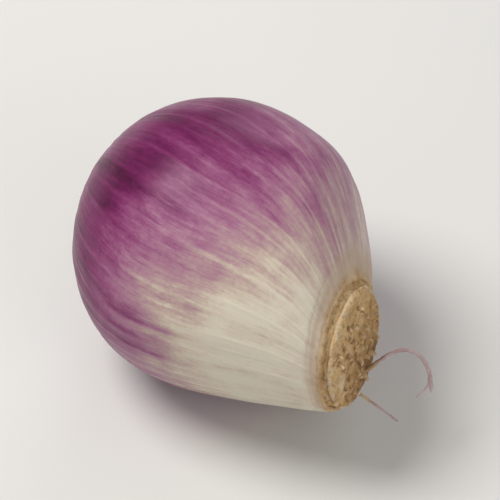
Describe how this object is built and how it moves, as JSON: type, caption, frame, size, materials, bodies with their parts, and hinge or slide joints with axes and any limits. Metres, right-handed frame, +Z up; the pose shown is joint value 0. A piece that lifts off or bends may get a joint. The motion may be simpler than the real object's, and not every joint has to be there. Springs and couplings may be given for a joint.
{
  "type": "baby red onion",
  "caption": "Peeled baby red onion lying on its side: egg-shaped purple and cream bulb with a trimmed neck and a dry tan root plate with short rootlets.",
  "frame": {"origin": "on the small flat spot the onion rests on, straight below the middle of its widest section", "axes": "+X along the onion from the trimmed neck to the root plate, +Z up, +Y to the side"},
  "size_m": [0.0621, 0.0463, 0.0451],
  "materials": {
    "onion_flesh": "moist satin skin, purple at the neck fading to cream at the root end",
    "dry_root": "dry and corky"
  },
  "bodies": {
    "root": {"bulb": "onion_flesh", "root_plate": "dry_root"}
  },
  "joints": []
}
